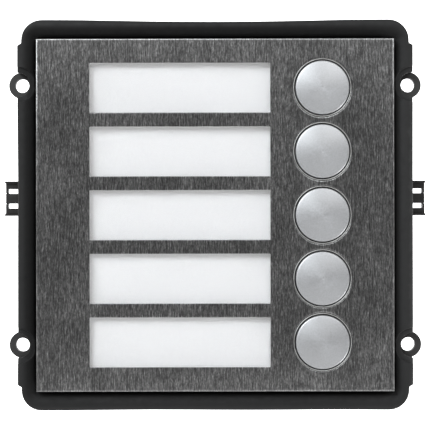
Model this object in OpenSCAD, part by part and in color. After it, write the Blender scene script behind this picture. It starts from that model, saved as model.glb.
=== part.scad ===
// Call panel module of a door station: five call buttons beside five back-lit name windows.
// Each module is drawn flat, x to the right, y up and z towards the caller, and upright()
// then stands it up: +X is the caller's right, +Z is up and the front faces -Y.
// The origin is the centre of the four lug holes, on the front faces of the lugs.

/* [Face plate] */
// Width of the brushed steel plate
plate_w = 107.5; // [106.5:0.5:108]
// Height of the plate
plate_h = 106; // [105:0.5:106.5]
// Thickness of the plate
plate_t = 2; // [1.5:0.5:2.5]

/* [Rows] */
// Distance from one call row to the next
row_pitch = 19.1; // [19.1:0.1:19.3]
// Width of a name window
window_w = 54.3; // [50:0.1:54.5]
// Height of a name window
window_h = 14.9; // [13:0.1:15]
// Sideways place of the windows' centres
window_x = -10.55; // [-11:0.05:-10.5]
// Sideways place of the buttons' centres
button_x = 32.2; // [32:0.1:32.6]

/* [Buttons] */
// Diameter of a button cap
cap_d = 16.2; // [15.8:0.1:16.3]
// How far a button travels
press = 1.2; // [0.8:0.1:1.2]
// Outer diameter of the thin ring around a cap
bezel_d = 17.7; // [17.7:0.1:17.9]

/* [Rim gasket] */
// Width of the gasket along its sides
gasket_w = 119.5; // [119:0.1:120]
// Width of the gasket at its corners
gasket_corner_w = 117; // [116.6:0.1:117.4]
// Height of the gasket
gasket_h = 118; // [117:0.1:118.4]
// Radius of the gasket's corners
gasket_r = 6.2; // [5:0.1:7]

/* [Lugs] */
// Distance between the lug holes, side to side
lug_dx = 117.4; // [117.2:0.1:117.6]
// Distance between the lug holes, up and down
lug_dy = 78.9; // [78:0.1:80]
// Diameter of a lug hole
lug_hole_d = 4.2; // [3.4:0.1:4.5]

/* [Rear case] */
// Width of the rear case
case_w = 105; // [104.6:0.1:105.4]
// Height of the rear case
case_h = 109; // [108.6:0.1:109.4]
// Depth of the case behind the lugs' faces
case_d = 21; // [20.5:0.5:24]
// Thickness of the case's walls
wall = 2; // [1.8:0.1:2.1]

/* [Side clips] */
// Height of the clips above the panel's centre
clip_y = 5.1; // [0:0.1:8]
// How far the clips' end flanges reach from the centre
clip_reach = 64.2; // [63.9:0.1:64.4]

/* [Hidden] */
$fn = 48;
rows = 5;
eps = 0.1;
rows_y = [for (i = [1 : rows]) ((rows + 1) / 2 - i) * row_pitch];

// Levels, counted from the lugs' front faces towards the caller
lug_t = 3;
seal_z = 0.4;
flange_z = 1;
lip_z = 3;
deck_z = 4.8;
gasket_z = 6.5;
adhesive_z = 7.2;
plate_z = 7.5;
plate_top = plate_z + plate_t;
board_z = -8;
board_t = 1.6;
board_back = board_z - board_t;
floor_z = -case_d + wall;

// Front carrier
plateau_w = 106;
plateau_h = 104.6;
flange_w = 115;
flange_h = 113;
cavity_w = 97.4;
cavity_h = 99.8;
skirt_gap = 0.2;
skirt_t = 1.6;
skirt_depth = 4;
ledge_z = 5.6;
pocket_margin = 1.1;
ledge_margin = 0.3;

// Button stack
bezel_z = 6.2;
bezel_flange_r = 9.2;
bezel_bore_r = cap_d / 2 + 0.25;
bezel_top = plate_top + 0.1;
well_floor = 1.6;
well_z = 3.2;
well_r = 9;
well_tube_r = 10.4;
cap_flange_r = 8.75;
cap_flange_z = 4.9;
cap_edge_z = plate_top + 0.75;
cap_dome_r = 80;
stem_r = 2.94;
guide_r = 3;
guide_boss_r = 4.2;
guide_z = -2;
dome_z = -3.8;
dome_r = 4.5;
mat_t = 1.2;
pill_r = 1.8;
pill_t = 0.45;
pad_r = 2.6;
pad_t = 0.1;
pad_slack = 0.05;
pill_z = board_z + pad_t + pad_slack + press + pill_t;

// Screws and their bosses
boss_x = 45.5;
case_boss_y = 47;
case_boss_r = 3;
case_boss_z = -12.05;
case_pilot_r = 1.3;
board_boss_y = 26;
board_boss_r = 2.6;
board_pilot_r = 1.0;
post_r = 4.2;
post_bore_r = 1.7;
screw_head_r = 2.8;
screw_sink_r = 3.1;
screw_sink_z = -18.4;

// Light diffuser
diffuser_z = 1.5;
diffuser_t = 2;
diffuser_top = 5.5;
peg_x = 29.6;
peg_y = 1.5 * row_pitch;
peg_r = 0.9;

// Cable bay in the back of the case, and its two connectors
bay_w = 48;
bay_h = 28;
bay_r = 1;
bay_floor = -14;
connector_x = 9;
connector_y = 5;
connector_w = 12;
connector_h = 6;
connector_d = 7;
connector_pins_n = 4;
pin_pitch = 2;
pin_w = 0.5;

// Lugs, and the notches that let a mounting boss through to them
lug_r = 4.05;
notch_shift = 0.83;
notch_r = 3.68;
ledge_ring_r = 5.27;
ledge_ring_z = 5.4;

// Side clips
clip_back = -14;
clip_front = -1;
cheek_front = -2.2;
finger_w = 3;
finger_gap = 0.12;
slot_w = 1.5;
cheek_t = 1.65;
clip_flange_t = 0.65;
clip_fillet = 0.35;
clip_wall_out = clip_reach - 0.2;
clip_wall_t = 0.7;
clip_wall_d = 4;
barb_z = -4.2;
clip_half = finger_w / 2 + slot_w + cheek_t + clip_flange_t;
knuckle_x = clip_wall_out - 2.05;
knuckle_z = -12.6;
knuckle_r = 0.9;
socket_r = 0.97;
root_top = -12.2;
stake_y = 3;
stake_z = -7.5;
stake_r = 1.2;

ROW_NODES = ["button_bezel", "button_cap", "label_window", "name_card", "keypad_dome", "carbon_pill"];

// ---------------------------------------------------------------- shared shapes

module upright() {
    rotate([90, 0, 0]) children();
}

// A flat rectangle with true arcs at its corners
module rounded(w, h, r) {
    square([w - 2 * r, h], center = true);
    square([w, h - 2 * r], center = true);
    for (x = [-1, 1], y = [-1, 1]) {
        translate([x * (w / 2 - r), y * (h / 2 - r)]) circle(r = r);
    }
}

module layer(z0, z1) {
    translate([0, 0, z0]) linear_extrude(z1 - z0) children();
}

module disc(r, z0, z1) {
    translate([0, 0, z0]) cylinder(r = r, h = z1 - z0);
}

module slab(w, h, r, z0, z1) {
    layer(z0, z1) rounded(w, h, r);
}

module ring_slab(w, h, r, inner_w, inner_h, inner_r, z0, z1) {
    layer(z0, z1) difference() {
        rounded(w, h, r);
        rounded(inner_w, inner_h, inner_r);
    }
}

module at_windows() {
    for (y = rows_y) {
        translate([window_x, y, 0]) children();
    }
}

module at_buttons() {
    for (y = rows_y) {
        translate([button_x, y, 0]) children();
    }
}

module at_corners(x, y) {
    for (sx = [-1, 1], sy = [-1, 1]) {
        translate([sx * x, sy * y, 0]) children();
    }
}

// The round notches that open to the sides, just outboard of the lug holes
module lug_notches(r, z0, z1) {
    at_corners(lug_dx / 2 + notch_shift, lug_dy / 2) disc(r, z0, z1);
}

module cross_recess(r, depth) {
    for (a = [0, 90]) {
        rotate([0, 0, a]) translate([-r, -0.3, 0]) cube([2 * r, 0.6, depth]);
    }
}

// A screw driven from behind: its head is at the back, its shank runs forwards
module screw(head_r, head_z0, head_z1, shank_r, tip_z) {
    difference() {
        union() {
            disc(head_r, head_z0, head_z1);
            disc(shank_r, head_z1 - eps, tip_z);
        }
        translate([0, 0, head_z0 - eps]) cross_recess(head_r * 0.6, 1.1);
    }
}

// ---------------------------------------------------------------- front

module face_plate() {
    color("#68696b") upright() difference() {
        slab(plate_w, plate_h, 0.5, plate_z, plate_top);
        at_windows() slab(window_w, window_h, 0.3, plate_z - eps, plate_top + eps);
        at_buttons() disc(bezel_d / 2 + 0.05, plate_z - eps, plate_top + eps);
    }
}

module plate_adhesive() {
    color("#3a3a3c") upright() difference() {
        slab(plateau_w - 1, plateau_h - 1, 1.2, adhesive_z, plate_z);
        at_windows() slab(window_w + 1, window_h + 1, 0.5, adhesive_z - eps, plate_z + eps);
        at_buttons() disc(bezel_flange_r - 0.2, adhesive_z - eps, plate_z + eps);
    }
}

module button_bezel(i) {
    color("#8e9092") upright() translate([button_x, rows_y[i - 1], 0]) difference() {
        union() {
            disc(bezel_flange_r, bezel_z, adhesive_z);
            disc(bezel_d / 2, bezel_z, bezel_top);
        }
        disc(bezel_bore_r, bezel_z - eps, bezel_top + eps);
    }
}

// A turned cap: crowned face, flange that stops it under the bezel, and a guide stem
module button_cap(i) {
    color("#b6b9bd") upright() translate([button_x, rows_y[i - 1], 0]) {
        intersection() {
            union() {
                disc(cap_d / 2, cap_flange_z, cap_edge_z - 0.35);
                translate([0, 0, cap_edge_z - 0.35])
                    cylinder(r1 = cap_d / 2, r2 = cap_d / 2 - 0.35, h = 0.35);
                disc(cap_d / 2 - 0.35, cap_edge_z - eps, cap_edge_z + 1);
            }
            translate([0, 0, cap_edge_z + 0.4 - cap_dome_r]) sphere(r = cap_dome_r, $fn = 180);
        }
        disc(cap_flange_r, cap_flange_z, bezel_z - eps);
        disc(stem_r, dome_z + eps, cap_flange_z + eps);
    }
}

module label_window(i) {
    color([0.85, 0.88, 0.9, 0.35]) upright() translate([window_x, rows_y[i - 1], 0])
        slab(window_w + 2, window_h + 2, 0.8, ledge_z + 0.35, adhesive_z - 0.05);
}

module name_card(i) {
    color("#f2f2f3") upright() translate([window_x, rows_y[i - 1], 0])
        slab(window_w + 1.8, window_h + 1.8, 0.5, ledge_z, ledge_z + 0.3);
}

// ---------------------------------------------------------------- carrier and gasket

module front_carrier() {
    window_pocket_w = window_w + 2 * pocket_margin;
    window_pocket_h = window_h + 2 * pocket_margin;
    skirt_w = case_w - 2 * wall - 2 * skirt_gap;
    skirt_h = case_h - 2 * wall - 2 * skirt_gap;
    color("#1d1c1c") upright() difference() {
        union() {
            slab(plateau_w, plateau_h, 1.5, deck_z, adhesive_z);
            ring_slab(plateau_w, plateau_h, 1.5, cavity_w, cavity_h, 1.5, flange_z, deck_z);
            ring_slab(flange_w, flange_h, 4.5, cavity_w, cavity_h, 1.5, flange_z, lip_z);
            ring_slab(skirt_w, skirt_h, 2.5, skirt_w - 2 * skirt_t, skirt_h - 2 * skirt_t, 1.2,
                -skirt_depth, flange_z);
            at_buttons() {
                disc(well_tube_r, well_floor, adhesive_z);
                disc(guide_boss_r, guide_z, well_floor);
            }
            at_corners(boss_x, case_boss_y) disc(case_boss_r, case_boss_z, deck_z);
            at_corners(boss_x, board_boss_y) disc(board_boss_r, board_z, deck_z);
            translate([window_x, 0, 0]) at_corners(peg_x, peg_y) {
                disc(peg_r, diffuser_z - 0.1, deck_z);
                disc(peg_r + 0.6, diffuser_z - 0.7, diffuser_z - 0.1);
            }
        }
        at_windows() {
            slab(window_pocket_w, window_pocket_h, 0.9, ledge_z, adhesive_z + eps);
            slab(window_w + 2 * ledge_margin, window_h + 2 * ledge_margin, 0.5, deck_z - eps, ledge_z + eps);
        }
        at_buttons() {
            disc(bezel_flange_r + 0.05, bezel_z, adhesive_z + eps);
            disc(well_r, well_z, bezel_z + eps);
            disc(guide_r, guide_z - eps, well_z + eps);
        }
        at_corners(boss_x, case_boss_y) disc(case_pilot_r, case_boss_z - eps, -1);
        at_corners(boss_x, board_boss_y) disc(board_pilot_r, board_z - eps, 0);
        lug_notches(notch_r + 0.25, flange_z - eps, lip_z + eps);
    }
}

module gasket_outline() {
    side_h = 51.6;
    step = 0.3;
    rounded(gasket_corner_w, gasket_h, gasket_r);
    polygon([for (s = [[1, 1], [-1, 1], [-1, -1], [1, -1]], k = [0, 1])
        let (outer = (s[0] * s[1] > 0) ? k == 0 : k == 1)
        [s[0] * (outer ? gasket_w : gasket_corner_w) / 2, s[1] * (side_h + (outer ? -step : step))]]);
}

// A U-shaped rubber rim that grips the carrier's flange
module rim_gasket() {
    color("#2c2c2d") upright() difference() {
        layer(0, gasket_z) gasket_outline();
        slab(plate_w + 1.2, plate_h + 1.2, 1.5, lip_z - eps, gasket_z + eps);
        slab(flange_w, flange_h, 4.5, flange_z, lip_z);
        slab(case_w + 1.4, case_h + 1.4, 5.5, -eps, flange_z + eps);
        lug_notches(notch_r, -eps, gasket_z + eps);
        lug_notches(ledge_ring_r, ledge_ring_z, gasket_z + eps);
    }
}

// ---------------------------------------------------------------- light and switches

module light_diffuser() {
    color("#f4f4ef") upright() difference() {
        union() {
            translate([window_x, 0, 0])
                slab(2 * peg_x + 3.2, 4 * row_pitch + 21, 1, diffuser_z, diffuser_z + diffuser_t);
            at_windows() slab(window_w, window_h, 0.5, diffuser_z + diffuser_t - eps, diffuser_top);
        }
        translate([window_x, 0, 0]) at_corners(peg_x, peg_y)
            disc(peg_r + 0.1, diffuser_z - eps, diffuser_z + diffuser_t + eps);
    }
}

module keypad_mat() {
    color("#a9adb0") upright() difference() {
        translate([button_x, 0, 0]) slab(17, 4 * row_pitch + 17, 2, board_z, board_z + mat_t);
        at_buttons() disc(dome_r, board_z - eps, board_z + mat_t + eps);
    }
}

// A rubber dome that buckles under the stem and carries the pill
module keypad_dome(i) {
    mat_top = board_z + mat_t;
    color("#b4b8bb") upright() translate([button_x, rows_y[i - 1], 0]) rotate_extrude() polygon([
        [0, dome_z], [0, pill_z], [1.9, pill_z], [1.9, pill_z + 1], [2.6, pill_z + 1],
        [3.7, mat_top], [3.7, board_z], [dome_r, board_z], [dome_r, mat_top],
        [3.2, dome_z - 1.2], [3, dome_z]]);
}

module carbon_pill(i) {
    color("#151515") upright() translate([button_x, rows_y[i - 1], 0])
        disc(pill_r, pill_z - pill_t, pill_z);
}

module contact_pads() {
    color("#c9a24a") upright() at_buttons() difference() {
        disc(pad_r, board_z, board_z + pad_t);
        translate([-0.25, -pad_r - eps, board_z - eps]) cube([0.5, 2 * pad_r + 2 * eps, 0.4]);
    }
}

module backlight_leds() {
    color("#f3f0d8") upright() at_windows() for (x = [-1, 0, 1]) {
        translate([x * window_w / 3, 0, 0]) difference() {
            layer(board_z, board_z + 1) square([3.2, 2.8], center = true);
            disc(1.05, board_z + 0.6, board_z + 1 + eps);
        }
    }
}

// ---------------------------------------------------------------- board

module control_board() {
    color("#1f5c3a") upright() difference() {
        slab(98, 102, 2.5, board_back, board_z);
        at_corners(boss_x, case_boss_y) disc(case_boss_r + 0.3, board_back - eps, board_z + eps);
        at_corners(boss_x, board_boss_y) disc(1.3, board_back - eps, board_z + eps);
        at_pins() disc(0.45, board_back - eps, board_z + eps);
    }
}

module at_pins() {
    for (s = [-1, 1], k = [0 : connector_pins_n - 1]) {
        translate([s * connector_x + (k - (connector_pins_n - 1) / 2) * pin_pitch, connector_y, 0])
            children();
    }
}

module controller_chip() {
    body = 10;
    color("#202022") upright() translate([-28, 32, board_back]) {
        translate([0, 0, -1.7]) linear_extrude(1.5) square(body, center = true);
        for (a = [0 : 90 : 270], k = [-5 : 5]) {
            rotate([0, 0, a]) translate([body / 2 - 0.2, k * 0.8 - 0.18, -1.05]) cube([0.9, 0.36, 0.15]);
            rotate([0, 0, a]) translate([body / 2 + 0.55, k * 0.8 - 0.18, -1.05]) cube([0.15, 0.36, 1.05]);
            rotate([0, 0, a]) translate([body / 2 + 0.55, k * 0.8 - 0.18, -0.15]) cube([0.7, 0.36, 0.15]);
        }
    }
}

// Through-hole cans, a power inductor and rows of small chip parts
module board_parts() {
    color("#6e6f72") upright() translate([0, 0, board_back]) {
        for (x = [16, 25]) {
            translate([x, 33, -7.5]) cylinder(r = 3.15, h = 7.5);
        }
        translate([0, 34, -4.2]) linear_extrude(4.2) rounded(8, 8, 1.2);
        translate([-10, 26, -3.6]) linear_extrude(3.6) rounded(11, 4.4, 2.1);
        for (k = [0 : 7]) {
            translate([-34 + k * 4, 22, -0.6]) cube([2, 1.25, 0.6]);
            translate([8 + k * 4, 25, -0.6]) cube([2, 1.25, 0.6]);
            translate([-34 + k * 9, -26, -0.8]) cube([3.1, 1.6, 0.8]);
        }
    }
}

// ---------------------------------------------------------------- connectors

module connector(s) {
    back = board_back - connector_d;
    color("#e8e4d6") upright() translate([s * connector_x, connector_y, 0]) difference() {
        layer(back, board_back) square([connector_w, connector_h], center = true);
        layer(back - eps, board_back - 1.4) square([connector_w - 1.6, connector_h - 1.6], center = true);
        layer(back - eps, board_back - 3) translate([0, -connector_h / 2]) square([3, 2], center = true);
        for (k = [0 : connector_pins_n - 1]) {
            translate([(k - (connector_pins_n - 1) / 2) * pin_pitch, 0, board_back - 2])
                linear_extrude(3) square(pin_w + 0.06, center = true);
        }
    }
}

module connector_pins() {
    color("#c9b27a") upright() at_pins()
        layer(board_back - connector_d + 1.2, board_z + 0.6) square(pin_w, center = true);
}

// ---------------------------------------------------------------- rear case

module lug(sx, sy) {
    color("#191818") translate([sx * lug_dx / 2, sy * lug_dy / 2, 0]) {
        disc(lug_r, -lug_t, 0);
        inboard = (lug_dx - case_w) / 2 + 1;
        translate([sx > 0 ? -inboard : 0, -lug_r, -lug_t]) cube([inboard, 2 * lug_r, lug_t]);
        translate([-sx * inboard, 0.75, -lug_t]) rotate([90, 0, 0]) linear_extrude(1.5)
            polygon([[0, 0.5], [sx * 4, 0.5], [sx * 4, 0], [0, -5]]);
    }
}

module rear_case() {
    inner_w = case_w - 2 * wall;
    inner_h = case_h - 2 * wall;
    color("#191818") upright() difference() {
        union() {
            slab(case_w, case_h, 5, -case_d, seal_z);
            for (sx = [-1, 1], sy = [-1, 1]) lug(sx, sy);
        }
        difference() {
            slab(inner_w, inner_h, 3, floor_z, seal_z + eps);
            slab(bay_w + 2 * wall, bay_h + 2 * wall, bay_r + wall, floor_z - eps, bay_floor + wall);
            at_corners(boss_x, case_boss_y) disc(post_r, floor_z - eps, case_boss_z - 0.1);
        }
        slab(bay_w, bay_h, bay_r, -case_d - eps, bay_floor);
        for (s = [-1, 1]) {
            translate([s * connector_x, connector_y, 0]) slab(connector_w + 1, connector_h + 1, 0.5,
                bay_floor - eps, bay_floor + wall + eps);
        }
        at_corners(boss_x, case_boss_y) {
            disc(screw_sink_r, -case_d - eps, screw_sink_z);
            disc(post_bore_r, screw_sink_z - eps, case_boss_z);
        }
        at_corners(lug_dx / 2, lug_dy / 2) disc(lug_hole_d / 2, -lug_t - 5, eps);
        for (s = [-1, 1], y = [-stake_y, stake_y]) {
            translate([s * (case_w / 2 - wall / 2), clip_y + y, stake_z]) rotate([0, 90, 0])
                cylinder(r = stake_r + 0.05, h = wall + 1, center = true);
        }
    }
}

module case_seal() {
    color("#3b3b3d") upright() ring_slab(case_w - 0.4, case_h - 0.4, 4.8,
        case_w - 2 * wall + 0.4, case_h - 2 * wall + 0.4, 3, seal_z, flange_z);
}

module case_screws() {
    color("#8d8f92") upright() at_corners(boss_x, case_boss_y)
        screw(screw_head_r, screw_sink_z - 2.2, screw_sink_z, case_pilot_r - 0.05, -3);
}

module board_screws() {
    color("#8d8f92") upright() at_corners(boss_x, board_boss_y)
        screw(2.3, board_back - 1.7, board_back, board_pilot_r - 0.05, -1);
}

module rating_label() {
    color("#d9dadb") upright() translate([0, -34, 0]) slab(52, 22, 1.5, -case_d - 0.15, -case_d);
}

// ---------------------------------------------------------------- side clips

// A cage with two slots that the door station's prongs go through, staked to the case
module clip_bracket(s) {
    cheek_y = finger_w / 2 + slot_w;
    base_t = 1.8;
    wall_in = clip_wall_out - clip_wall_t;
    barb_notch_w = finger_w + 2 * finger_gap;
    color("#1b1a1a") upright() translate([0, clip_y, 0]) mirror([s < 0 ? 1 : 0, 0, 0]) difference() {
        union() {
            translate([case_w / 2, -clip_half, clip_back])
                cube([base_t, 2 * clip_half, clip_front - clip_back]);
            for (y = [cheek_y, -cheek_y - cheek_t]) {
                translate([case_w / 2, y, clip_back])
                    cube([clip_wall_out - case_w / 2, cheek_t, cheek_front - clip_back]);
            }
            for (y = [clip_half - clip_flange_t, -clip_half]) {
                translate([case_w / 2, y, clip_back])
                    cube([clip_reach - case_w / 2, clip_flange_t, clip_front - clip_back]);
            }
            difference() {
                translate([wall_in, -cheek_y - eps, cheek_front - clip_wall_d])
                    cube([clip_wall_t, 2 * (cheek_y + eps), clip_wall_d]);
                translate([wall_in - eps, -barb_notch_w / 2, barb_z - finger_gap])
                    cube([clip_wall_t + 2 * eps, barb_notch_w, clip_wall_d]);
            }
            for (a = [0, 1]) {
                mirror([0, a, 0]) translate([case_w / 2, clip_half - clip_flange_t, cheek_front])
                    rotate([90, 0, 90]) linear_extrude(clip_wall_out - case_w / 2) polygon([
                        [eps, -eps], [eps, clip_fillet], [0, clip_fillet],
                        [-clip_fillet, 0], [-clip_fillet, -eps]]);
            }
            translate([case_w / 2, -finger_w / 2, clip_back])
                cube([clip_wall_out - case_w / 2, finger_w, root_top - clip_back]);
            for (y = [-stake_y, stake_y]) {
                translate([case_w / 2 - wall + 0.2, y, stake_z]) rotate([0, 90, 0])
                    cylinder(r = stake_r, h = wall);
            }
        }
        translate([knuckle_x, 0, knuckle_z]) rotate([90, 0, 0])
            cylinder(r = socket_r, h = finger_w + 1, center = true);
    }
}

// The sprung finger in the cage: a knuckle at its root and a barb at its free end
module clip_finger(s) {
    stem_in = knuckle_x - 0.85;
    stem_out = knuckle_x + 0.85;
    head_in = knuckle_x - 2.5;
    color("#161515") upright() translate([0, clip_y, 0]) mirror([s < 0 ? 1 : 0, 0, 0])
        translate([0, finger_w / 2, 0]) rotate([90, 0, 0]) linear_extrude(finger_w) {
            translate([knuckle_x, knuckle_z]) circle(r = knuckle_r);
            polygon([
                [knuckle_x - 0.5, knuckle_z], [knuckle_x + 0.5, knuckle_z],
                [knuckle_x + 0.5, knuckle_z + 1.2], [stem_out, knuckle_z + 1.7],
                [stem_out, barb_z], [clip_wall_out, barb_z], [clip_wall_out, cheek_front], [stem_out, -1.6],
                [head_in + 0.8, -1.6], [head_in, -2.4], [head_in, -4], [stem_in, -5.2],
                [stem_in, knuckle_z + 1.7], [knuckle_x - 0.5, knuckle_z + 1.2]]);
        }
}

// ---------------------------------------------------------------- the whole panel

face_plate();
plate_adhesive();
front_carrier();
rim_gasket();
light_diffuser();
keypad_mat();
control_board();
backlight_leds();
contact_pads();
controller_chip();
board_parts();
connector(-1);  // connector_in
connector(1);  // connector_out
connector_pins();
rear_case();
case_seal();
case_screws();
board_screws();
clip_bracket(-1);  // clip_bracket_left
clip_bracket(1);  // clip_bracket_right
clip_finger(-1);  // clip_finger_left
clip_finger(1);  // clip_finger_right
rating_label();
for (i = [1 : rows]) {
    button_bezel(i);
    button_cap(i);
    label_window(i);
    name_card(i);
    keypad_dome(i);
    carbon_pill(i);
}
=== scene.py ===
# Door-station call panel, finished for rendering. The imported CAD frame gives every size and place;
# each section below makes one piece, or one group of like pieces, in the order it is put together.
import math

import bmesh
import bpy
from mathutils import Matrix, Vector, noise


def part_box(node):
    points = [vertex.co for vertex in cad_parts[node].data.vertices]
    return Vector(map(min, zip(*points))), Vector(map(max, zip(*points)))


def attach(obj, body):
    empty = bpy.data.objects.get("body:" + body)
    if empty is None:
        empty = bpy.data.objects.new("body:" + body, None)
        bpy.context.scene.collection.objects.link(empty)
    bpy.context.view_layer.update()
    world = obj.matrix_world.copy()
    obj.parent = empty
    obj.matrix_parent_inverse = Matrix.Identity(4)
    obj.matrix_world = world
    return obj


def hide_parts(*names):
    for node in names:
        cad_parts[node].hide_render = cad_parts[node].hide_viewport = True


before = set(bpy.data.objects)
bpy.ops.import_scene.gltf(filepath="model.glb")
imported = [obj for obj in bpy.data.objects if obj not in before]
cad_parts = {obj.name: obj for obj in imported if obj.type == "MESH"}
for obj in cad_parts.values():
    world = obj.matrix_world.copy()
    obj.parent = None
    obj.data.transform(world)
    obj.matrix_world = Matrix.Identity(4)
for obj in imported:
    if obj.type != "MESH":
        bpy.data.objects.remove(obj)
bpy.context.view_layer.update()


# ---------------------------------------------------------------- studio
# A white sweep under and far behind the panel, a large soft key light high on the caller's left, a
# weak fill on the right, a small low side light, and a dark card for the plate to reflect.

VIEW_DISTANCE = 0.6
VIEW_WIDTH = 0.129
SENSOR = 36.0
VIEW_ROLL = 0.1
VIEW_SIDE_STEP = -0.00006
SHEET_WIDTH = 3.2
plate_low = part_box("face_plate")[0]


def soft_light(name, place, width, height, power, colour=(1, 1, 1)):
    """A rectangular area light at a place, turned to shine at the panel."""
    data = bpy.data.lights.new(name, "AREA")
    data.shape = "RECTANGLE"
    data.size = width
    data.size_y = height
    data.energy = power
    data.color = colour
    lamp = bpy.data.objects.new(name, data)
    lamp.location = place
    lamp.rotation_euler = (-Vector(place)).to_track_quat("-Z", "Y").to_euler()
    bpy.context.scene.collection.objects.link(lamp)


def studio_sheet(name, corners, shade, glow):
    """A sheet swept sideways from a line of (y, z) points, with an even colour and glow."""
    bm = bmesh.new()
    line = [bm.verts.new((-SHEET_WIDTH / 2, y, z)) for y, z in corners]
    edges = [bm.edges.new(pair) for pair in zip(line, line[1:])]
    moved = bmesh.ops.extrude_edge_only(bm, edges=edges)["geom"]
    bmesh.ops.translate(bm, vec=(SHEET_WIDTH, 0, 0),
                        verts=[v for v in moved if isinstance(v, bmesh.types.BMVert)])
    bmesh.ops.recalc_face_normals(bm, faces=bm.faces[:])
    data = bpy.data.meshes.new(name)
    bm.to_mesh(data)
    bm.free()
    data.shade_smooth()
    paint = bpy.data.materials.new(name)
    paint.use_nodes = True
    inputs = paint.node_tree.nodes["Principled BSDF"].inputs
    inputs["Base Color"].default_value = (shade, shade, shade, 1)
    inputs["Roughness"].default_value = 0.9
    inputs["Emission Color"].default_value = (1, 1, 1, 1)
    inputs["Emission Strength"].default_value = glow
    data.materials.append(paint)
    sheet = bpy.data.objects.new(name, data)
    bpy.context.scene.collection.objects.link(sheet)
    return sheet


camera_data = bpy.data.cameras.new("camera")
camera_data.sensor_width = SENSOR
camera_data.lens = SENSOR * VIEW_DISTANCE / VIEW_WIDTH
camera = bpy.data.objects.new("camera", camera_data)
camera.location = (VIEW_SIDE_STEP, plate_low[1] - VIEW_DISTANCE, 0)
camera.rotation_euler = (math.radians(90), math.radians(VIEW_ROLL), 0)
bpy.context.scene.collection.objects.link(camera)
bpy.context.scene.camera = camera
bpy.context.scene.view_settings.view_transform = "Standard"

soft_light("key_light", (-0.9, -1.8, 0.94), 1.0, 0.8, 48.0, (0.92, 0.97, 1.0))
soft_light("fill_light", (0.55, -2.0, 0.85), 0.5, 0.6, 9.0)
soft_light("side_light", (0.8, -0.3, -0.65), 0.3, 0.3, 6.0)

room = bpy.data.worlds.new("room")
room.use_nodes = True
room.node_tree.nodes["Background"].inputs["Color"].default_value = (1, 1, 1, 1)
room.node_tree.nodes["Background"].inputs["Strength"].default_value = 1.6
bpy.context.scene.world = room

studio_sheet("sweep", [(-0.1, -0.4), (1.2, -0.4), (1.5, -0.33), (1.65, -0.15), (1.7, 1.6)], 0.9, 0.8)
dark_card = studio_sheet("dark_card", [(-0.75, -0.15), (-0.75, 0.15)], 0.01, 0.35)
dark_card.visible_camera = False


# ---------------------------------------------------------------- face plate
# One sheet of stainless steel, brushed up and down, with five name windows and five button holes
# punched through it. Its cut edges are bright, and tape bonds it to the carrier.

STAND_UP = Matrix.Rotation(math.radians(90), 4, "X") @ Matrix.Scale(0.001, 4)
ROWS = range(1, 6)
PLATE_EDGE = 0.4
HOLE_EDGE = 0.15
WINDOW_MARGIN = 1.0
WINDOW_CORNER_R = 0.3
BUTTON_HOLE_R = 8.9
BUTTON_HOLE_STEPS = 96
FRONT_SLACK = 0.01
RIM_BAND = 0.6
FACE_INSET = 0.3
BRUSHING_SPAN = 200


def extent(node):
    """A CAD node's lowest and highest corners in the panel's millimetres: right, up, to the caller."""
    low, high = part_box(node)
    return Vector((low[0], low[2], -high[1])) * 1000, Vector((high[0], high[2], -low[1])) * 1000


def outline(bm, width, height, radius, x=0.0, y=0.0):
    """The edges of a rounded rectangle, with no face in it."""
    place = Matrix.Translation((x, y, 0)) @ Matrix.Diagonal((width, height, 1, 1))
    corners = bmesh.ops.create_grid(bm, x_segments=1, y_segments=1, size=0.5, matrix=place)["verts"]
    if radius:
        corners = bmesh.ops.bevel(bm, geom=corners, offset=radius, affect="VERTICES", segments=6,
                                  profile=0.5, material=-1)["verts"]
    faces = {face for vert in corners for face in vert.link_faces}
    bmesh.ops.delete(bm, geom=list(faces), context="FACES_ONLY")


def sheet_from_outlines(bm, bottom, top):
    """Fills the outlines, holes left open, and thickens them into a sheet between two levels."""
    bmesh.ops.triangle_fill(bm, edges=bm.edges[:], normal=(0, 0, 1), use_beauty=True)
    bmesh.ops.translate(bm, vec=(0, 0, bottom), verts=bm.verts[:])
    raised = bmesh.ops.extrude_face_region(bm, geom=bm.faces[:])["geom"]
    bmesh.ops.translate(bm, vec=(0, 0, top - bottom),
                        verts=[v for v in raised if isinstance(v, bmesh.types.BMVert)])
    bmesh.ops.recalc_face_normals(bm, faces=bm.faces[:])


def round_edges(bm, width, segments=2, chosen=lambda middle: True):
    """Rounds the sharp edges whose middles are chosen."""
    sharp = [e for e in bm.edges if e.is_manifold and e.calc_face_angle() > math.radians(30)
             and chosen((e.verts[0].co + e.verts[1].co) / 2)]
    bmesh.ops.bevel(bm, geom=sharp, offset=width, affect="EDGES", segments=segments, profile=0.5,
                    material=-1)


def finish_piece(name, bm, made_of, body, record_slot, *nodes, to_frame=STAND_UP, crease=40):
    """Makes the object, in the frame, gives it its materials and body, and hides the CAD nodes it stands in
    for; record_slot is not used.
    """
    bm.transform(to_frame)
    data = bpy.data.meshes.new(name)
    bm.to_mesh(data)
    bm.free()
    data.shade_smooth()
    data.set_sharp_from_angle(angle=math.radians(crease))
    for material in made_of if isinstance(made_of, tuple) else (made_of,):
        data.materials.append(material)
    piece = bpy.data.objects.new(name, data)
    bpy.context.scene.collection.objects.link(piece)
    even = piece.modifiers.new("edge_shading", "WEIGHTED_NORMAL")
    even.keep_sharp = True
    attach(piece, body)
    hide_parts(*nodes)


def finish(name, colour, roughness, metallic=0.0, **constants):
    """A Principled material whose even values sit on the shader's own sockets."""
    made = bpy.data.materials.new(name)
    made.use_nodes = True
    inputs = made.node_tree.nodes["Principled BSDF"].inputs
    inputs["Base Color"].default_value = (*colour, 1)
    inputs["Roughness"].default_value = roughness
    inputs["Metallic"].default_value = metallic
    for socket, value in constants.items():
        inputs[socket.replace("_", " ")].default_value = value
    return made


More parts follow.
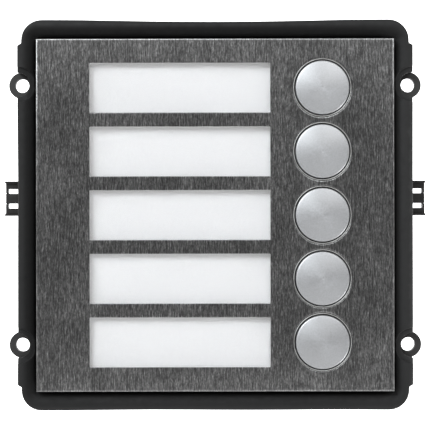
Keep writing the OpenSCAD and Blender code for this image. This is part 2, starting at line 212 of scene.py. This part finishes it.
def grain_of(made, per_metre, detail=3.0, roughness=0.55):
    """Noise over Object coordinates. per_metre is how many grains lie in a metre along each axis."""
    nodes, links = made.node_tree.nodes, made.node_tree.links
    place = nodes.new("ShaderNodeTexCoord")
    scale = nodes.new("ShaderNodeMapping")
    grain = nodes.new("ShaderNodeTexNoise")
    scale.inputs["Scale"].default_value = per_metre
    grain.inputs["Scale"].default_value = 1.0
    grain.inputs["Detail"].default_value = detail
    grain.inputs["Roughness"].default_value = roughness
    links.new(place.outputs["Object"], scale.inputs["Vector"])
    links.new(scale.outputs["Vector"], grain.inputs["Vector"])
    return grain.outputs["Fac"]


def mixed(made, first, second, share):
    """Two grains blended, with the given share of the second."""
    mix = made.node_tree.nodes.new("ShaderNodeMix")
    mix.inputs[0].default_value = share
    made.node_tree.links.new(first, mix.inputs[2])
    made.node_tree.links.new(second, mix.inputs[3])
    return mix.outputs[0]


def colour_by(made, grain, *stops):
    """Drives the base colour with a ramp of (position, colour) stops."""
    nodes, links = made.node_tree.nodes, made.node_tree.links
    ramp = nodes.new("ShaderNodeValToRGB")
    while len(ramp.color_ramp.elements) < len(stops):
        ramp.color_ramp.elements.new(0.5)
    for element, (position, colour) in zip(ramp.color_ramp.elements, stops):
        element.position = position
        element.color = (*colour, 1)
    links.new(grain, ramp.inputs["Fac"])
    links.new(ramp.outputs["Color"], nodes["Principled BSDF"].inputs["Base Color"])


def roughness_by(made, grain, low, high):
    """Drives the roughness between two values."""
    nodes, links = made.node_tree.nodes, made.node_tree.links
    spread = nodes.new("ShaderNodeMapRange")
    spread.inputs["From Min"].default_value = 0.3
    spread.inputs["From Max"].default_value = 0.7
    spread.inputs["To Min"].default_value = low
    spread.inputs["To Max"].default_value = high
    links.new(grain, spread.inputs["Value"])
    links.new(spread.outputs["Result"], nodes["Principled BSDF"].inputs["Roughness"])


def relief_by(made, grain, height, strength):
    """Adds fine relief of a height in metres, on top of any that is there."""
    nodes, links = made.node_tree.nodes, made.node_tree.links
    shader_normal = nodes["Principled BSDF"].inputs["Normal"]
    bump = nodes.new("ShaderNodeBump")
    bump.inputs["Distance"].default_value = height
    bump.inputs["Strength"].default_value = strength
    if shader_normal.links:
        links.new(shader_normal.links[0].from_socket, bump.inputs["Normal"])
    links.new(grain, bump.inputs["Height"])
    links.new(bump.outputs["Normal"], shader_normal)


def run_along(made, uv_map):
    """Lays a metal's brushing along the second axis of a UV map."""
    nodes, links = made.node_tree.nodes, made.node_tree.links
    lay = nodes.new("ShaderNodeTangent")
    lay.direction_type = "UV_MAP"
    lay.uv_map = uv_map
    links.new(lay.outputs["Tangent"], nodes["Principled BSDF"].inputs["Tangent"])


steel = finish("brushed_stainless", (0.3, 0.3, 0.3), 0.32, metallic=1.0, Anisotropic=1.0)
streaks = grain_of(steel, (3600, 3600, 420), detail=4.0, roughness=0.65)
scratches = grain_of(steel, (4200, 4200, 130), detail=2.0)
specks = grain_of(steel, (3000, 3000, 1500), detail=2.0)
clouds = grain_of(steel, (90, 90, 45), detail=3.0, roughness=0.6)
worked_grain = mixed(steel, mixed(steel, streaks, scratches, 0.3), specks, 0.25)
steel_grain = mixed(steel, worked_grain, clouds, 0.13)
colour_by(steel, steel_grain, (0.3, (0.03, 0.03, 0.03)), (0.46, (0.1, 0.1, 0.1)),
          (0.54, (0.2, 0.2, 0.2)), (0.68, (0.55, 0.55, 0.55)))
roughness_by(steel, streaks, 0.28, 0.4)
run_along(steel, "brushing")

cut_steel = finish("cut_stainless", (0.55, 0.55, 0.55), 0.35, metallic=1.0)
cut_marks = grain_of(cut_steel, (900, 900, 900), detail=3.0)
colour_by(cut_steel, cut_marks, (0.3, (0.7, 0.7, 0.7)), (0.7, (0.82, 0.82, 0.82)))
roughness_by(cut_steel, cut_marks, 0.28, 0.45)

plate_min, plate_max = extent("face_plate")
plate_bm = bmesh.new()
outline(plate_bm, plate_max.x - plate_min.x, plate_max.y - plate_min.y, 0)
for row in ROWS:
    pane_min, pane_max = extent(f"label_window_{row}")
    ring_min, ring_max = extent(f"button_bezel_{row}")
    middle, size = (pane_min + pane_max) / 2, pane_max - pane_min
    outline(plate_bm, size.x - 2 * WINDOW_MARGIN, size.y - 2 * WINDOW_MARGIN, WINDOW_CORNER_R,
            middle.x, middle.y)
    hole = Matrix.Translation(((ring_min.x + ring_max.x) / 2, (ring_min.y + ring_max.y) / 2, 0))
    bmesh.ops.create_circle(plate_bm, radius=BUTTON_HOLE_R, segments=BUTTON_HOLE_STEPS, matrix=hole)
sheet_from_outlines(plate_bm, plate_min.z, plate_max.z)
front_z = plate_max.z - FRONT_SLACK
rim_x, rim_y = plate_max.x - RIM_BAND, plate_max.y - RIM_BAND
round_edges(plate_bm, PLATE_EDGE, 4,
            lambda at: at.z > front_z and (abs(at.x) > rim_x or abs(at.y) > rim_y))
round_edges(plate_bm, HOLE_EDGE, 3,
            lambda at: at.z > front_z and abs(at.x) < rim_x and abs(at.y) < rim_y)
front = [f for f in plate_bm.faces if f.normal.z > 0.999 and f.calc_center_median().z > front_z]
for face in plate_bm.faces:
    face.material_index = 1 if abs(face.normal.z) < 0.1 else 0
bmesh.ops.inset_region(plate_bm, faces=front, thickness=FACE_INSET, use_even_offset=True)
brushing = plate_bm.loops.layers.uv.new("brushing")
for face in plate_bm.faces:
    for loop in face.loops:
        loop[brushing].uv = (loop.vert.co.x / BRUSHING_SPAN, loop.vert.co.y / BRUSHING_SPAN)
finish_piece("face_plate_finished", plate_bm, (steel, cut_steel), "root", "brushed_steel", "face_plate")


# ---------------------------------------------------------------- plate adhesive and carrier
# Black foam tape, die cut to the plate's shape, and the ABS carrier moulding under it, whose deck
# holds the windows and the button wells. Moulds leave a small radius on every edge.


def cover(material, record_slot, *nodes):
    """Gives CAD nodes, left as they are, a material of this file's."""
    for node in nodes:
        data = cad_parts[node].data
        data.materials.clear()
        data.materials.append(material)


def softened(node, width, chosen=lambda middle: True):
    """A merged copy of a CAD node, in metres, with its chosen sharp edges rounded by a width in mm."""
    bm = bmesh.new()
    bm.from_mesh(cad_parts[node].data)
    bmesh.ops.remove_doubles(bm, verts=bm.verts[:], dist=1e-6)
    bmesh.ops.dissolve_limit(bm, angle_limit=math.radians(0.5), verts=bm.verts[:], edges=bm.edges[:])
    round_edges(bm, width * 0.001, chosen=chosen)
    return bm


tape = finish("black_foam_tape", (0.01, 0.01, 0.01), 0.85)
tape_cells = grain_of(tape, (3000, 3000, 3000))
colour_by(tape, tape_cells, (0.3, (0.008, 0.008, 0.008)), (0.7, (0.018, 0.018, 0.018)))
cover(tape, "adhesive", "plate_adhesive")

black_abs = finish("black_abs", (0.006, 0.0056, 0.0053), 0.5, Specular_IOR_Level=0.3)
abs_spark = grain_of(black_abs, (3800, 3800, 3800), detail=2.0)
colour_by(black_abs, abs_spark, (0.3, (0.0045, 0.0042, 0.004)), (0.7, (0.0085, 0.008, 0.0075)))
roughness_by(black_abs, abs_spark, 0.42, 0.6)
relief_by(black_abs, abs_spark, 0.00002, 0.5)
finish_piece("front_carrier_moulding", softened("front_carrier", 0.12), black_abs, "root", "black_abs",
             "front_carrier", to_frame=Matrix.Identity(4))


# ---------------------------------------------------------------- rim gasket
# A soft black rubber rim, gripped on the carrier's flange. Its front face is slightly crowned and
# falls towards the plate. The top side sags a little, and all wander by a few tenths of a millimetre.
# Its colour has painted shade, darker towards the plate, and painted light on its right and bottom sides.

GASKET_CORNER_R = 6.2
RIM_FRONT_SLACK = 0.3
RIM_CUTS = 12
RIM_CUT_STEP = 0.6
CROSS_CUTS = range(-50, 51, 10)
CROWN_EDGE = 1.8
CROWN_DROP = 0.6
INNER_START = 1.8
INNER_END = 5.3
INNER_DROP = 1.1
BOW = 0.12
SAG = 0.35
BOW_SPAN = 0.75
PULL_REACH = 2.5
WANDER = 0.2
WANDER_LENGTH = 38
WANDER_BIAS = 0.2
# Painted shade: how far in from the rim the rubber's colour darkens towards the plate.
PAINTED_SHADE_DEPTH = 5.6
# Painted light: how much the rubber's colour is lifted on each side, most on the right, some on the bottom,
# hardly any on the left and top.
PAINTED_LIGHT_SHARE = 0.85
SIDE_POWER = 8
LEFT_PAINTED_LIGHT = 0.05
RIGHT_PAINTED_LIGHT = 0.95
TOP_PAINTED_LIGHT = 0.05
BOTTOM_PAINTED_LIGHT = 0.25


def depth_in_rim(x, y):
    """How far a point lies inside the gasket's rounded outline."""
    over_x, over_y = abs(x) - half_w + GASKET_CORNER_R, abs(y) - half_h + GASKET_CORNER_R
    return GASKET_CORNER_R - math.hypot(max(over_x, 0), max(over_y, 0)) - min(max(over_x, over_y), 0)


def cut_across(bm, axis, at):
    """Cuts a mesh where it crosses a plane, and keeps both sides."""
    place, direction = Vector((0, 0, 0)), Vector((0, 0, 0))
    place[axis] = at
    direction[axis] = 1
    everything = bm.verts[:] + bm.edges[:] + bm.faces[:]
    bmesh.ops.bisect_plane(bm, geom=everything, plane_co=place, plane_no=direction)


# The rubber's base colour carries painted shade and painted light. A ramp darkens it towards the plate,
# where the plate shades it, and lifts its right side, and a little its bottom, as a light from the lower
# right would. A little random bloom is mixed in.
rubber = finish("black_rubber", (0.012, 0.012, 0.012), 0.55, Specular_IOR_Level=0.12)
rubber_bloom = grain_of(rubber, (500, 500, 500), detail=4.0)
painted_shade_map = rubber.node_tree.nodes.new("ShaderNodeUVMap")
painted_shade_map.uv_map = "wear"
wear = rubber.node_tree.nodes.new("ShaderNodeSeparateXYZ")
rubber.node_tree.links.new(painted_shade_map.outputs["UV"], wear.inputs["Vector"])
colour_by(rubber, mixed(rubber, wear.outputs["X"], rubber_bloom, 0.12),
          (0.06, (0.018, 0.018, 0.018)), (0.1, (0.0098, 0.0098, 0.0099)),
          (0.5, (0.0018, 0.0018, 0.0018)), (0.95, (0.0002, 0.0002, 0.0002)))
roughness_by(rubber, rubber_bloom, 0.45, 0.65)
relief_by(rubber, rubber_bloom, 0.00004, 0.35)

gasket_max = extent("rim_gasket")[1]
half_w, half_h = gasket_max.x, gasket_max.y
gasket_bm = softened("rim_gasket", 0.25)
gasket_bm.transform(STAND_UP.inverted())
for step in range(1, RIM_CUTS + 1):
    for axis, half in ((0, half_w), (1, half_h)):
        for side in (-1, 1):
            cut_across(gasket_bm, axis, side * (half - RIM_CUT_STEP * step))
for along in CROSS_CUTS:
    for axis in (0, 1):
        cut_across(gasket_bm, axis, along)
for vert in gasket_bm.verts:
    depth = depth_in_rim(vert.co.x, vert.co.y)
    if vert.co.z > gasket_max.z - RIM_FRONT_SLACK:
        outer = max(0.0, 1 - depth / CROWN_EDGE)
        inner = max(0.0, (depth - INNER_START) / (INNER_END - INNER_START))
        vert.co.z -= CROWN_DROP * outer ** 2 + INNER_DROP * min(inner, 1) ** 2
    if depth < PULL_REACH:
        along_x, along_y = vert.co.x / half_w, vert.co.y / half_h
        along = along_x if abs(along_y) > abs(along_x) else along_y
        bow = BOW + SAG if along_y > abs(along_x) else BOW
        pull = bow * max(0.0, 1 - (along / BOW_SPAN) ** 2)
        pull += WANDER * (WANDER_BIAS + noise.noise(Vector((vert.co.x, vert.co.y, 0)) / WANDER_LENGTH))
        vert.co.x *= 1 - max(0.0, pull) * (1 - depth / PULL_REACH) / half_w
        vert.co.y *= 1 - max(0.0, pull) * (1 - depth / PULL_REACH) / half_h
# A UV map carries the painted shade: its first value grows from the outer edge towards the plate, so the
# ramp darkens the rubber there.
painted_shade_layer = gasket_bm.loops.layers.uv.new("wear")
for face in gasket_bm.faces:
    for loop in face.loops:
        spot = loop.vert.co
        depth = depth_in_rim(spot.x, spot.y)
        # Painted light: on the right side, and less on the bottom, the value is pulled back so the rubber
        # there is lighter.
        out_x, out_y = (spot.x / half_w) ** SIDE_POWER, (spot.y / half_h) ** SIDE_POWER
        beside = out_x / (out_x + out_y)
        painted_side_light = beside * (RIGHT_PAINTED_LIGHT if spot.x >= 0 else LEFT_PAINTED_LIGHT)
        painted_side_light += (1 - beside) * (TOP_PAINTED_LIGHT if spot.y >= 0 else BOTTOM_PAINTED_LIGHT)
        inward = min(max(depth / PAINTED_SHADE_DEPTH, 0.0), 1.0)
        loop[painted_shade_layer].uv = (inward * (1 - PAINTED_LIGHT_SHARE * painted_side_light * (inward < 1)), 0)
finish_piece("rim_gasket_finished", gasket_bm, rubber, "root", "gasket_rubber", "rim_gasket", crease=50)


# ---------------------------------------------------------------- name windows, cards and diffuser
# A clear polycarbonate pane in each pocket of the carrier, over a blank white card whose weak glow is
# painted light that lifts the shade cast by the window edges. The plate's windows are smaller than the
# panes and hold them in.

PANE_CORNER_R = 0.8

clear = finish("clear_polycarbonate", (0.97, 0.98, 0.985), 0.03, Transmission_Weight=1.0, IOR=1.45)
relief_by(clear, grain_of(clear, (60, 60, 60), detail=1.0), 0.00002, 0.2)
# The card's emission is painted light: a weak glow that lifts the shade under the plate's window edges.
paper = finish("card_stock", (0.8, 0.8, 0.79), 0.75, Subsurface_Weight=0.12, Subsurface_Scale=0.002,
               Subsurface_Radius=(1, 1, 1), Emission_Color=(1, 1, 1, 1), Emission_Strength=0.14)
paper_fibres = grain_of(paper, (1800, 1800, 1800), detail=4.0)
colour_by(paper, paper_fibres, (0.3, (0.615, 0.6, 0.6)), (0.7, (0.65, 0.635, 0.635)))
relief_by(paper, paper_fibres, 0.00001, 0.3)
opal = finish("opal_acrylic", (0.85, 0.86, 0.86), 0.4, Subsurface_Weight=0.3)
colour_by(opal, grain_of(opal, (300, 300, 300)), (0.3, (0.83, 0.84, 0.84)), (0.7, (0.88, 0.89, 0.89)))
cover(opal, "opal_acrylic", "light_diffuser")

for row in ROWS:
    low, high = extent(f"label_window_{row}")
    pane_bm = bmesh.new()
    middle, size = (low + high) / 2, high - low
    outline(pane_bm, size.x, size.y, PANE_CORNER_R, middle.x, middle.y)
    sheet_from_outlines(pane_bm, low.z, high.z)
    round_edges(pane_bm, 0.1)
    finish_piece(f"name_pane_{row}", pane_bm, clear, "root", "clear_window", f"label_window_{row}")
    cover(paper, "card_white", f"name_card_{row}")


# ---------------------------------------------------------------- button rings
# A thin turned collar stands in each hole of the plate. Its foot is trapped under the plate, and
# its bore stops the flange of the cap.

RING_WALL = 0.5
RING_FOOT = 1.0
RING_LEDGE = 0.35
RING_EDGE = 0.15
TURN_STEPS = 96


def turned(profile):
    """A shape turned about the z axis from (radius, height) points."""
    bm = bmesh.new()
    points = [bm.verts.new((r, 0, z)) for r, z in profile]
    line = [bm.edges.new(pair) for pair in zip(points, points[1:])]
    bmesh.ops.spin(bm, geom=points + line, cent=(0, 0, 0), axis=(0, 0, 1), angle=math.tau,
                   steps=TURN_STEPS, use_merge=True)
    bmesh.ops.remove_doubles(bm, verts=bm.verts[:], dist=0.001)
    bmesh.ops.recalc_face_normals(bm, faces=bm.faces[:])
    return bm


def centre_on(bm, low, high):
    """Moves a turned shape from the origin to the middle of a node's extent."""
    bmesh.ops.translate(bm, vec=((low.x + high.x) / 2, (low.y + high.y) / 2, 0), verts=bm.verts[:])


ring_metal = finish("button_ring_metal", (0.3, 0.3, 0.3), 0.3, metallic=1.0)
ring_grain = grain_of(ring_metal, (900, 900, 900), detail=2.0)
colour_by(ring_metal, ring_grain, (0.35, (0.16, 0.158, 0.155)), (0.65, (0.22, 0.22, 0.217)))
roughness_by(ring_metal, ring_grain, 0.4, 0.5)

for row in ROWS:
    low, high = extent(f"button_bezel_{row}")
    foot_r = (high.x - low.x) / 2
    outer_r = foot_r - RING_LEDGE
    inner_r = outer_r - RING_WALL
    ring_bm = turned([(inner_r, low.z), (inner_r, high.z - RING_EDGE), (inner_r + RING_EDGE, high.z),
                      (outer_r - RING_EDGE, high.z), (outer_r, high.z - RING_EDGE),
                      (outer_r, low.z + RING_FOOT), (foot_r, low.z + RING_FOOT), (foot_r, low.z),
                      (inner_r, low.z)])
    centre_on(ring_bm, low, high)
    finish_piece(f"button_ring_{row}", ring_bm, ring_metal, "root", "bezel_metal", f"button_bezel_{row}",
                 crease=50)


# ---------------------------------------------------------------- call buttons
# Satin metal caps, turned, with a slightly crowned face, a bright rounded edge and the lathe's
# centre mark. A flange under the head stops the cap, and a stem guides it and works the switch.

CAP_R = 8.1
CAP_EDGE_R = 0.45
CROWN_R = 60.0
CAP_HEIGHT = 5.75
FLANGE_T = 1.2
STEM_R = 2.94
FACE_STEPS = 12
MARK_R = 0.3
MARK_DEPTH = 0.03
TURNING_SPAN = 20

cap_metal = finish("satin_metal", (0.45, 0.45, 0.45), 0.42, metallic=0.9, Anisotropic=0.25)
cap_grain = grain_of(cap_metal, (2600, 2600, 2600), detail=3.0)
colour_by(cap_metal, cap_grain, (0.3, (0.235, 0.238, 0.243)), (0.7, (0.272, 0.276, 0.283)))
roughness_by(cap_metal, cap_grain, 0.36, 0.46)
run_along(cap_metal, "turning")


def lay_turning(bm):
    """A UV map whose first axis runs outwards from the turning axis and whose second runs round it."""
    layer = bm.loops.layers.uv.new("turning")
    for face in bm.faces:
        middle = face.calc_center_median()
        facing = math.atan2(middle.y, middle.x)
        for loop in face.loops:
            radius = math.hypot(loop.vert.co.x, loop.vert.co.y)
            angle = math.atan2(loop.vert.co.y, loop.vert.co.x) if radius > 0.01 else facing
            turn = (angle - facing + math.pi) % math.tau - math.pi + facing
            loop[layer].uv = (radius / TURNING_SPAN, turn / math.tau)


for row in ROWS:
    low, high = extent(f"button_cap_{row}")
    flange_r = (high.x - low.x) / 2
    flange_z = high.z - CAP_HEIGHT
    face_r = CAP_R - CAP_EDGE_R
    face_radii = [face_r * step / FACE_STEPS for step in range(FACE_STEPS, 0, -1)] + [MARK_R]
    face = [(radius, high.z - CROWN_R + math.sqrt(CROWN_R ** 2 - radius ** 2)) for radius in face_radii]
    edge = [(face_r + CAP_EDGE_R * math.cos(math.radians(turn)),
             face[0][1] - CAP_EDGE_R + CAP_EDGE_R * math.sin(math.radians(turn)))
            for turn in range(0, 90, 18)]
    cap_bm = turned([(0, low.z), (STEM_R, low.z), (STEM_R, flange_z), (flange_r, flange_z),
                     (flange_r, flange_z + FLANGE_T), (CAP_R, flange_z + FLANGE_T),
                     *edge, *face, (MARK_R / 2, high.z - MARK_DEPTH / 2), (0, high.z - MARK_DEPTH)])
    lay_turning(cap_bm)
    centre_on(cap_bm, low, high)
    finish_piece(f"call_button_{row}", cap_bm, cap_metal, f"button_{row}", "satin_metal",
                 f"button_cap_{row}", crease=30)


# ---------------------------------------------------------------- keypad
# A grey silicone mat with a dome under each button, and the carbon pill that each dome presses on
# its pair of contact pads. They keep their CAD forms.

silicone = finish("grey_silicone", (0.2, 0.21, 0.22), 0.6, Subsurface_Weight=0.1)
colour_by(silicone, grain_of(silicone, (700, 700, 700)),
          (0.3, (0.17, 0.18, 0.19)), (0.7, (0.24, 0.25, 0.26)))
cover(silicone, "grey_silicone", "keypad_mat", *[f"keypad_dome_{row}" for row in ROWS])
carbon = finish("carbon_rubber", (0.012, 0.012, 0.012), 0.8)
colour_by(carbon, grain_of(carbon, (4000, 4000, 4000)),
          (0.3, (0.008, 0.008, 0.008)), (0.7, (0.02, 0.02, 0.02)))
cover(carbon, "carbon_black", *[f"carbon_pill_{row}" for row in ROWS])


# ---------------------------------------------------------------- control board
# A green two-sided board with gold contact pads and white lamps on its front, and the controller,
# small parts and the two cable connectors on its back.

solder_mask = finish("solder_mask", (0.01, 0.09, 0.04), 0.3, Coat_Weight=0.4)
copper = solder_mask.node_tree.nodes.new("ShaderNodeTexVoronoi")
copper.feature = "DISTANCE_TO_EDGE"
copper.distance = "CHEBYCHEV"
copper_place = solder_mask.node_tree.nodes.new("ShaderNodeTexCoord")
copper.inputs["Scale"].default_value = 260.0
solder_mask.node_tree.links.new(copper_place.outputs["Object"], copper.inputs["Vector"])
colour_by(solder_mask, copper.outputs["Distance"], (0.02, (0.03, 0.2, 0.08)), (0.08, (0.008, 0.07, 0.03)))
cover(solder_mask, "board_green", "control_board")

gold = finish("gold_plate", (0.9, 0.62, 0.25), 0.3, metallic=1.0)
roughness_by(gold, grain_of(gold, (1500, 1500, 1500)), 0.22, 0.4)
cover(gold, "gold_plate", "contact_pads")
lamp_white = finish("lamp_housing", (0.8, 0.8, 0.76), 0.35)
colour_by(lamp_white, grain_of(lamp_white, (1200, 1200, 1200)),
          (0.3, (0.78, 0.78, 0.74)), (0.7, (0.85, 0.85, 0.8)))
cover(lamp_white, "led_white", "backlight_leds")
chip_epoxy = finish("chip_epoxy", (0.015, 0.015, 0.016), 0.55)
colour_by(chip_epoxy, grain_of(chip_epoxy, (5000, 5000, 5000)),
          (0.3, (0.01, 0.01, 0.011)), (0.7, (0.025, 0.025, 0.026)))
cover(chip_epoxy, "chip_black", "controller_chip")
part_grey = finish("part_grey", (0.25, 0.24, 0.22), 0.45)
colour_by(part_grey, grain_of(part_grey, (180, 180, 180), detail=1.0),
          (0.4, (0.06, 0.055, 0.05)), (0.6, (0.4, 0.38, 0.34)))
cover(part_grey, "part_grey", "board_parts")
ivory = finish("connector_ivory", (0.78, 0.72, 0.58), 0.4, Subsurface_Weight=0.1)
colour_by(ivory, grain_of(ivory, (600, 600, 600)), (0.3, (0.74, 0.68, 0.54)), (0.7, (0.8, 0.75, 0.62)))
for side in ("in", "out"):
    finish_piece(f"cable_socket_{side}", softened(f"connector_{side}", 0.08), ivory, "root",
                 "connector_ivory", f"connector_{side}", to_frame=Matrix.Identity(4))
tin = finish("tinned_pin", (0.7, 0.7, 0.69), 0.3, metallic=1.0)
roughness_by(tin, grain_of(tin, (2500, 2500, 2500)), 0.22, 0.42)
cover(tin, "tinned_pin", "connector_pins")


# ---------------------------------------------------------------- rear case, seal, screws and label
# The case is one black ABS moulding with the four lugs on its rim and a cable bay in its back. A
# foam cord seals it, four plated screws close it, and a blank silver label sits in its recess.

LUG_HOLE = (0.0587, 0.03945, 0.0025)


def off_the_lug_holes(at):
    """Whether a point in metres is clear of the lugs' holes, whose rims stay sharp."""
    hole_x, hole_z, reach = LUG_HOLE
    return math.hypot(abs(at.x) - hole_x, abs(at.z) - hole_z) > reach


finish_piece("rear_case_moulding", softened("rear_case", 0.08, chosen=off_the_lug_holes), black_abs, "root",
             "black_abs", "rear_case", to_frame=Matrix.Identity(4))
foam = finish("seal_foam", (0.05, 0.05, 0.055), 0.9)
colour_by(foam, grain_of(foam, (2500, 2500, 2500)), (0.3, (0.03, 0.03, 0.033)), (0.7, (0.08, 0.08, 0.085)))
cover(foam, "seal_foam", "case_seal")
zinc = finish("zinc_plated_steel", (0.33, 0.33, 0.32), 0.3, metallic=1.0)
roughness_by(zinc, grain_of(zinc, (2000, 2000, 2000)), 0.22, 0.45)
for screws in ("case_screws", "board_screws"):
    finish_piece(screws + "_finished", softened(screws, 0.06), zinc, "root", "zinc_steel", screws,
                 to_frame=Matrix.Identity(4))
film = finish("label_film", (0.29, 0.295, 0.3), 0.4)
colour_by(film, grain_of(film, (1800, 1800, 1800)), (0.3, (0.28, 0.285, 0.29)), (0.7, (0.3, 0.305, 0.31)))
cover(film, "label_film", "rating_label")


# ---------------------------------------------------------------- side clips
# A black acetal cage on each side of the case, with the sprung finger that stands between its two
# slots. Both are moulded, with hardly any radius on their edges.

acetal = finish("black_acetal", (0.005, 0.0045, 0.004), 0.4, Specular_IOR_Level=0.22)
acetal_flow = grain_of(acetal, (700, 700, 700))
colour_by(acetal, acetal_flow, (0.3, (0.003, 0.0027, 0.0025)), (0.7, (0.0055, 0.005, 0.0046)))
roughness_by(acetal, acetal_flow, 0.32, 0.5)
for side in ("left", "right"):
    finish_piece(f"clip_cage_{side}", softened(f"clip_bracket_{side}", 0.06), acetal, "root",
                 "black_acetal", f"clip_bracket_{side}", to_frame=Matrix.Identity(4))
    finish_piece(f"clip_tongue_{side}", softened(f"clip_finger_{side}", 0.06), acetal, f"clip_{side}",
                 "black_acetal", f"clip_finger_{side}", to_frame=Matrix.Identity(4))
